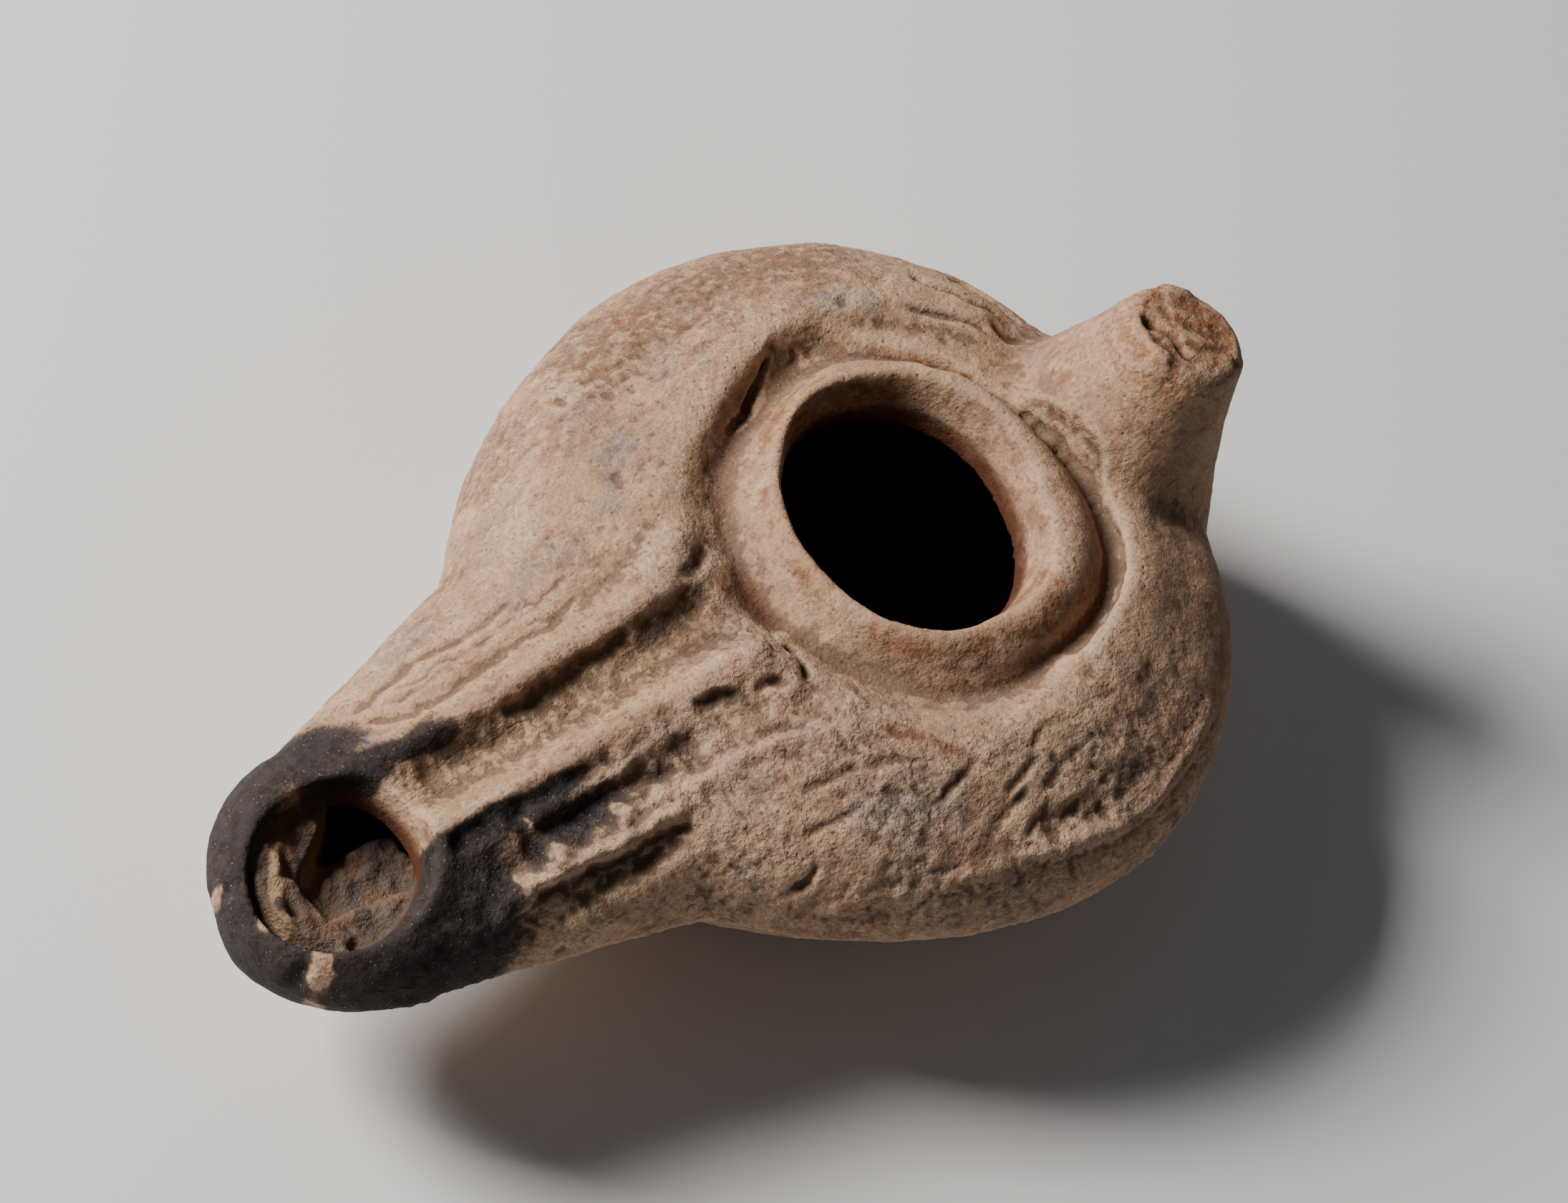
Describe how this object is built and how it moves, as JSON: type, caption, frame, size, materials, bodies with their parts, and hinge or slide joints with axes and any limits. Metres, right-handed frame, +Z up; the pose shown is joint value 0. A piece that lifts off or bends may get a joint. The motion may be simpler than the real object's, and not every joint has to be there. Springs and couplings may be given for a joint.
{
  "type": "terracotta oil lamp",
  "caption": "Mould-made clay oil lamp: a closed hollow body with a ringed filling hole, a long grooved nozzle with a wick hole and a knob handle.",
  "frame": {"origin": "on the ground, under the centre of the filling hole", "axes": "+Z up, the nozzle points along -X, +Y to the left seen from the handle"},
  "size_m": [0.1041, 0.0672, 0.0388],
  "materials": {
    "lamp_body": "rough fired clay, soot-stained at the nozzle"
  },
  "bodies": {
    "root": {"lamp_body": "lamp_body"}
  },
  "joints": []
}
